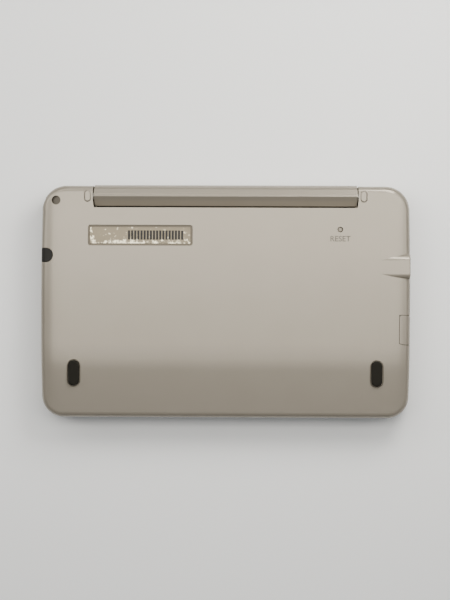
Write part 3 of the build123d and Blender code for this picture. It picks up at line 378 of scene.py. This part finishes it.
for letter in "abcdefghijklmnopqrstuvwxyz":
    node = "key_" + letter
    low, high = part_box(node)
    centre = (low + high) / 2
    make_caps(node, [centre], *cap_half_size(low, high))
    word = lettering("legend_" + letter, [(letter.upper(), on_key(centre.x, centre.y, low.z))],
                     ink, letter_size, ink_thickness)
    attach(word, node)

low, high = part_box("function_keys")
function_half = (5.8 * mm, 3.3 * mm)
function_centres = row_centres(low, high, function_half[0], 8)
make_caps("function_keys", function_centres, *function_half)
word = lettering("legend_function_keys",
                 [(str(i + 1), on_key(*centre)) for i, centre in enumerate(function_centres)],
                 ink, digit_size, ink_thickness)
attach(word, "function_keys")

low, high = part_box("command_keys")
command_half = (7.2 * mm, 4.7 * mm)
command_words = ("SHIFT", "ABC", "SPACE", "DEL", "BACK")
command_centres = row_centres(low, high, command_half[0], len(command_words))
make_caps("command_keys", command_centres, *command_half)
word = lettering("legend_command_keys",
                 [(text, on_key(*centre)) for text, centre in zip(command_words, command_centres)],
                 ink, command_word_size, ink_thickness)
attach(word, "command_keys")

# The four cursor keys stand in an inverted T, each with a printed triangle that points its way.
low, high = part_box("cursor_keys")
cursor_half = (5.3 * mm, 4.7 * mm)
edge_x, edge_y = cursor_half[0] + flange_width, cursor_half[1] + flange_width
cursor_centres = [
    Vector(((low.x + high.x) / 2, high.y - edge_y, low.z)),
    Vector((high.x - edge_x, low.y + edge_y, low.z)),
    Vector(((low.x + high.x) / 2, low.y + edge_y, low.z)),
    Vector((low.x + edge_x, low.y + edge_y, low.z)),
]
make_caps("cursor_keys", cursor_centres, *cursor_half)
arrow_turns = (0, 90, 180, 270)
arrow_reach = 1.5 * mm
arrow_columns = []
for centre, turn in zip(cursor_centres, arrow_turns):
    corners = []
    for spoke in (90, 210, 330):
        angle = math.radians(spoke + turn)
        corners.append((centre.x - arrow_reach * math.cos(angle),
                        centre.y + arrow_reach * math.sin(angle)))
    arrow_columns.append([[(x, y, centre.z + lift) for x, y in corners]
                          for lift in (ink_thickness / 2, -ink_thickness / 2)])
arrows = stack("legend_cursor_keys", arrow_columns, ink, flat_rings=(0,))
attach(arrows, "cursor_keys")

low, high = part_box("enter_key")
centre = (low + high) / 2
make_caps("enter_key", [centre], *cap_half_size(low, high))
word = lettering("legend_enter_key", [("ENTER", on_key(centre.x, centre.y, low.z))],
                 ink, small_word_size, ink_thickness)
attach(word, "enter_key")

# The power key is round.
low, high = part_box("power_key")
centre = (low + high) / 2
power_radius = (high.x - low.x) / 2 - flange_width
make_caps("power_key", [centre], power_radius, power_radius, corner=power_radius)
word = lettering("legend_power_key", [("ON", on_key(centre.x, centre.y, low.z))],
                 ink, small_word_size, ink_thickness)
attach(word, "power_key")

# ------------------------------------------------------------------ inner parts of the base
# The rubber dome sheet under the keys, and the circuit board with its battery and its sockets.
# They stay out of sight, apart from the mouths of the sockets.
dome_sheet, dome_sheet_surface = new_material("grey_silicone_sheet", {
    "Roughness": 0.6, "IOR": 1.43,
})
mottle(dome_sheet, dome_sheet_surface, "#ABABA6", "#A0A09B", patch=8 * mm)
dress(dome_sheet, "key_membrane")

# A green lacquer over the copper tracks, with a soft gloss
board, board_surface = new_material("green_solder_mask", {"Roughness": 0.35, "IOR": 1.55})
mottle(board, board_surface, "#245C36", "#1D4D2C", patch=6 * mm)
dress(board, "main_board")

# Aluminium foil, slightly puckered round the cell
pouch, pouch_surface = new_material("battery_pouch_foil", {"Metallic": 1.0, "Roughness": 0.4})
mottle(pouch, pouch_surface, "#C9CACD", "#B9BABE", patch=9 * mm)
grain(pouch, pouch_surface, pitch=2 * mm, height=0.05 * mm, strength=0.5)
dress(pouch, "battery")

# Stamped steel with a bright tin plating
tinned, tinned_surface = new_material("tinned_socket_shell", {"Metallic": 1.0, "Roughness": 0.28})
mottle(tinned, tinned_surface, "#C4C3BF", "#AEADA9", patch=2 * mm)
dress(tinned, "card_socket", "usb_socket")

# ------------------------------------------------------------------ bottom case and card slot cover
# The underside is one moulding in the same paint as the lid, with its notches, recesses and the
# raised housing of the earphone jack. The cover of the card slot takes up the same surface.
dress(paint, "bottom_case", "card_cover")

# A short way into the strap hole and the reset hole the walls are painted dark: painted shade in
# the holes. Each hole has a ball round its depth, and the colour changes inside it.
hole_shade_colour = linear("#3B352A")
place = add_node(paint, "ShaderNodeTexCoord")
shade = paint_shade.outputs["Color"]
# The middle of the mouth, the radius of the hole, the radius of the ball, and how far in the
# painted shade begins
shaded_holes = (
    (Vector((-69.9, 41.7, 17.3)) * mm, 1.85 * mm, 3.4 * mm, 0.30 * mm),
    (Vector((47.2, 29.9, 18.0)) * mm, 1.15 * mm, 2.4 * mm, 0.25 * mm),
)
for mouth, hole_radius, ball_radius, start in shaded_holes:
    ball_depth = start + math.sqrt(ball_radius ** 2 - hole_radius ** 2)
    away = add_node(paint, "ShaderNodeVectorMath", {1: mouth - Vector((0, 0, ball_depth))},
                    {0: place.outputs["Object"]}, operation="DISTANCE")
    in_ball = add_node(paint, "ShaderNodeMath", {1: ball_radius}, {0: away.outputs["Value"]},
                       operation="LESS_THAN")
    shade = add_node(paint, "ShaderNodeMixRGB", {"Color2": hole_shade_colour},
                     {"Fac": in_ball.outputs[0], "Color1": shade}).outputs["Color"]

# The floor of the label's bed is painted darker too, as painted shadow, where it shows round the
# sticker.
bed_middle = Vector((-35.1, 27.3, 17.3)) * mm
bed_half_size = Vector((21.5, 4.2, 0.2)) * mm
shade = add_node(paint, "ShaderNodeMixRGB", {"Color2": linear("#4F483C")},
                 {"Fac": inside_box(paint, bed_middle, bed_half_size),
                  "Color1": shade}).outputs["Color"]
paint.node_tree.links.new(shade, paint_surface.inputs["Base Color"])

# The word beside the reset hole is moulded in the case, in fine low lines. They cast too little
# shade to show, so they are coloured darker than the paint: painted shade.
reset_word_centre = Vector((47.2 * mm, 26.0 * mm, 18.0 * mm))
reset_word_size = 3.2 * mm
reset_word_thickness = 0.04 * mm
painted_shade_lines, painted_shade_lines_surface = new_material("painted_shade_in_fine_lines", {
    "Roughness": 0.5, "IOR": 1.5,
})
mottle(painted_shade_lines, painted_shade_lines_surface, "#3E382F", "#343027", patch=3 * mm)
word = lettering("reset_word", [("RESET", Matrix.Translation(reset_word_centre))],
                 painted_shade_lines, reset_word_size, reset_word_thickness)
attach(word, "base")

# ------------------------------------------------------------------ stylus and reset button
# The stylus is moulded in black ABS, and a fine grain takes away most of its gloss; only its head
# shows. The reset button is a small plunger of grey acetal below the hole.
stylus_black, stylus_black_surface = new_material("grained_black_abs", {
    "Roughness": 0.5, "IOR": 1.53, "Specular IOR Level": 0.3,
})
mottle(stylus_black, stylus_black_surface, "#0E0D0B", "#0B0A08", patch=3 * mm)
grain(stylus_black, stylus_black_surface, pitch=0.5 * mm, height=0.02 * mm, strength=0.5)
dress(stylus_black, "stylus")

reset_grey, reset_grey_surface = new_material("moulded_grey_acetal", {
    "Roughness": 0.4, "IOR": 1.48,
})
mottle(reset_grey, reset_grey_surface, "#8B8478", "#827B70", patch=1 * mm)
dress(reset_grey, "reset_button")

# ------------------------------------------------------------------ front feet
# Two long oval feet of matt black rubber, glued into recesses. Their edges are well rounded and
# their tops are level.
foot_rubber, foot_rubber_surface = new_material("matt_foot_rubber", {
    "Roughness": 0.8, "IOR": 1.52, "Specular IOR Level": 0.25,
})
mottle(foot_rubber, foot_rubber_surface, "#13110A", "#0F0D07", patch=3 * mm)
grain(foot_rubber, foot_rubber_surface, pitch=0.5 * mm, height=0.03 * mm, strength=0.6)

feet_low, feet_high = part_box("rubber_feet")
foot_width, foot_length = 4.55 * mm, 10.45 * mm
# In mm, how far the outline is drawn in, and how far below the top that happens
foot_profile = [(0.0, 0.55), (0.04, 0.36), (0.15, 0.18), (0.32, 0.06), (0.6, 0.01), (1.2, 0.0)]
foot_levels = [(0.0, feet_low.z)]
foot_levels += [(inset * mm, feet_high.z - depth * mm) for inset, depth in foot_profile]
foot_columns = []
for side in (-1, 1):
    middle_x = side * (feet_high.x - foot_width / 2)
    middle_y = (feet_low.y + feet_high.y) / 2
    rings = []
    for inset, z in foot_levels:
        end_radius = foot_width / 2 - inset
        outline = round_outline(end_radius, foot_length / 2 - inset, end_radius, steps=10)
        rings.append([(middle_x + x, middle_y + y, z) for x, y in outline])
    foot_columns.append(rings)
feet = stack("foot_pair", foot_columns, foot_rubber)
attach(feet, "base")
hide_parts("rubber_feet")

# ------------------------------------------------------------------ label
# A silvery beige foil sticker in a sunken bed, printed with one patch of plain even bars. It has
# lifted a little along its lower and left edges, and there the creased foil has painted highlights,
# glints in small spots.
label, label_surface = new_material("printed_foil_sticker", {"Metallic": 0.35, "IOR": 1.5})
place = add_node(label, "ShaderNodeTexCoord")
apart = add_node(label, "ShaderNodeSeparateXYZ", links={"Vector": place.outputs["Object"]})

# The bars stand in a row along the label, and each fills the same share of its pitch.
bars_middle = Vector((-28.8, 27.4, 17.4)) * mm
bars_half_size = Vector((11.4, 1.9, 1.0)) * mm
bar_count = 18
bar_share = 0.7
bar_pitch = 2 * bars_half_size.x / (bar_count - 1 + bar_share)
bars_start = bars_middle.x - bars_half_size.x
turns = add_node(label, "ShaderNodeMath", {1: 1 / bar_pitch, 2: -bars_start / bar_pitch},
                 {0: apart.outputs["X"]}, operation="MULTIPLY_ADD")
part_of_turn = add_node(label, "ShaderNodeMath", links={0: turns.outputs[0]}, operation="FRACT")
bar = add_node(label, "ShaderNodeMath", {1: bar_share}, {0: part_of_turn.outputs[0]},
               operation="LESS_THAN")
inked = add_node(label, "ShaderNodeMath",
                 links={0: inside_box(label, bars_middle, bars_half_size), 1: bar.outputs[0]},
                 operation="MULTIPLY")

# The creases and the lift are in the material, not in the mesh: a bump all over the foil, and
# glints painted into the colour as painted highlights, that thicken towards the lifted edges. A rim
# is 1 at the edge and 0 where the foil is flat.
crease_pitch = 1.5 * mm
crease_height = 0.08 * mm
lifted_rim = 2.3 * mm
rim_lift = 0.2
glint_begins, glint_full = 0.62, 0.74
crease = add_node(label, "ShaderNodeTexNoise",
                  {"Scale": 1 / crease_pitch, "Detail": 4.0, "Roughness": 0.6},
                  {"Vector": place.outputs["Object"]})
label_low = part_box("nameplate_label")[0]
rims = []
for axis, edge in (("X", label_low.x), ("Y", label_low.y)):
    rims.append(add_node(label, "ShaderNodeMapRange",
                         {"From Min": edge, "From Max": edge + lifted_rim,
                          "To Min": 1.0, "To Max": 0.0},
                         {"Value": apart.outputs[axis]}))
rim = add_node(label, "ShaderNodeMath",
               links={0: rims[0].outputs["Result"], 1: rims[1].outputs["Result"]},
               operation="MAXIMUM")
lift = add_node(label, "ShaderNodeMath", {1: rim_lift},
                {0: rim.outputs[0], 2: crease.outputs["Fac"]}, operation="MULTIPLY_ADD")
painted_glints = add_node(label, "ShaderNodeMapRange",
                  {"From Min": glint_begins, "From Max": glint_full}, {"Value": lift.outputs[0]})
# Painted highlights: the glint colour is mixed into the foil's colour.
foil_and_painted_glints = add_node(label, "ShaderNodeMixRGB",
                      {"Color1": linear("#7D7462"), "Color2": linear("#FFF7DC")},
                      {"Fac": painted_glints.outputs["Result"]})
foil_colour = add_node(label, "ShaderNodeMixRGB", {"Color2": linear("#090807")},
                       {"Fac": inked.outputs[0], "Color1": foil_and_painted_glints.outputs["Color"]})

# Close under the wall of the bed the foil lies in shade.
wall_reach = 1.6 * mm
wall_shut, wall_open = 0.6, 0.95
bed_corner = add_node(label, "ShaderNodeAmbientOcclusion", {"Distance": wall_reach}, samples=8)
bed_shade = add_node(label, "ShaderNodeMapRange",
                     {"From Min": wall_shut, "From Max": wall_open, "To Min": 0.9, "To Max": 0.0},
                     {"Value": bed_corner.outputs["AO"]})
foil_colour = add_node(label, "ShaderNodeMixRGB", {"Color2": linear("#2A261E")},
                       {"Fac": bed_shade.outputs["Result"],
                        "Color1": foil_colour.outputs["Color"]})
foil_bump = add_node(label, "ShaderNodeBump", {"Strength": 0.5, "Distance": crease_height},
                     {"Height": crease.outputs["Fac"]})
foil_gloss = add_node(label, "ShaderNodeMapRange", {"To Min": 0.42, "To Max": 0.22},
                      {"Value": crease.outputs["Fac"]})
label.node_tree.links.new(foil_colour.outputs["Color"], label_surface.inputs["Base Color"])
label.node_tree.links.new(foil_gloss.outputs["Result"], label_surface.inputs["Roughness"])
label.node_tree.links.new(foil_bump.outputs["Normal"], label_surface.inputs["Normal"])
dress(label, "nameplate_label")

# ------------------------------------------------------------------ floor
# A plain pale sheet of matt paper that runs out of sight on every side.
floor_half = 3.0
floor_mesh = bpy.data.meshes.new("floor")
floor_mesh.from_pydata([(-floor_half, -floor_half, 0), (floor_half, -floor_half, 0),
                        (floor_half, floor_half, 0), (-floor_half, floor_half, 0)],
                       [], [(0, 1, 2, 3)])
floor_paper, floor_surface = new_material("matt_white_paper", {"Roughness": 0.9, "IOR": 1.45})
mottle(floor_paper, floor_surface, "#F2F5F9", "#EFF2F6", patch=300 * mm)
floor_mesh.materials.append(floor_paper)
floor = bpy.data.objects.new("floor", floor_mesh)
bpy.context.scene.collection.objects.link(floor)

# ------------------------------------------------------------------ light
# Two weak soft boxes overhead give the flat faces their sheen. Square lamps stand round the object
# a third to half a metre away, most of them behind the hinge, and the room all round is pale.
room_brightness = 0.17
world = bpy.data.worlds.new("pale_room")
world.use_nodes = True
room = world.node_tree.nodes["Background"]
room.inputs["Color"].default_value = linear("#EEF2F8")
room.inputs["Strength"].default_value = room_brightness
bpy.context.scene.world = world
lamp_colour = (1.0, 0.955, 0.865)


def add_lamp(name, position, width, depth, power):
    """A soft lamp that faces the middle of the object. Its power is in watts."""
    lamp = bpy.data.lights.new(name, "AREA")
    lamp.shape = "RECTANGLE"
    lamp.size = width
    lamp.size_y = depth
    lamp.energy = power
    lamp.color = lamp_colour
    placed = bpy.data.objects.new(name, lamp)
    placed.location = position
    placed.rotation_euler = (-Vector(position)).to_track_quat("-Z", "Y").to_euler()
    placed.visible_camera = False
    bpy.context.scene.collection.objects.link(placed)


add_lamp("overhead", (0.0, 0.08, 0.55), width=0.81, depth=0.12, power=1.56)
add_lamp("overhead_front", (0.0, -0.04, 0.55), width=0.81, depth=0.12, power=0.72)
# Name, degrees round from the hinge side to the right, degrees up, metres away, metres across and
# watts
square_lamps = (
    ("low_rear", 0, 28, 0.50, 0.22, 0.33),
    ("high_rear", 0, 56, 0.50, 0.22, 0.22),
    ("left_rear", -35, 45, 0.50, 0.22, 0.48),
    ("right_rear", 35, 45, 0.33, 0.15, 0.88),
    ("left", -70, 35, 0.50, 0.22, 0.56),
    ("right", 70, 42, 0.50, 0.22, 0.34),
)
for name, turn, rise, away, across, power in square_lamps:
    turn, rise = math.radians(turn), math.radians(rise)
    position = (away * math.sin(turn) * math.cos(rise), away * math.cos(turn) * math.cos(rise),
                away * math.sin(rise))
    add_lamp(name, position, across, across, power)

# ------------------------------------------------------------------ camera
# A long lens almost straight above the object, a touch to the right and to the front, and turned
# a touch about its own axis.
camera_distance = 1.0
camera_lens = 145.0
camera_target = Vector((-0.2, 0.8, 12.0)) * mm
camera_lean = (math.radians(1.1), math.radians(-0.5))
camera_roll = math.radians(-0.23)

back = Vector((math.sin(camera_lean[0]), math.sin(camera_lean[1]), 1.0)).normalized()
up = Vector((math.sin(camera_roll), math.cos(camera_roll), 0.0))
right = up.cross(back).normalized()
up = back.cross(right)
lens = bpy.data.cameras.new("camera")
lens.lens = camera_lens
lens.sensor_width = 36.0
lens.clip_start = 0.05
lens.clip_end = 20.0
camera = bpy.data.objects.new("camera", lens)
turned = Matrix((right, up, back)).transposed().to_4x4()
camera.matrix_world = Matrix.Translation(camera_target + camera_distance * back) @ turned
bpy.context.scene.collection.objects.link(camera)
bpy.context.scene.camera = camera
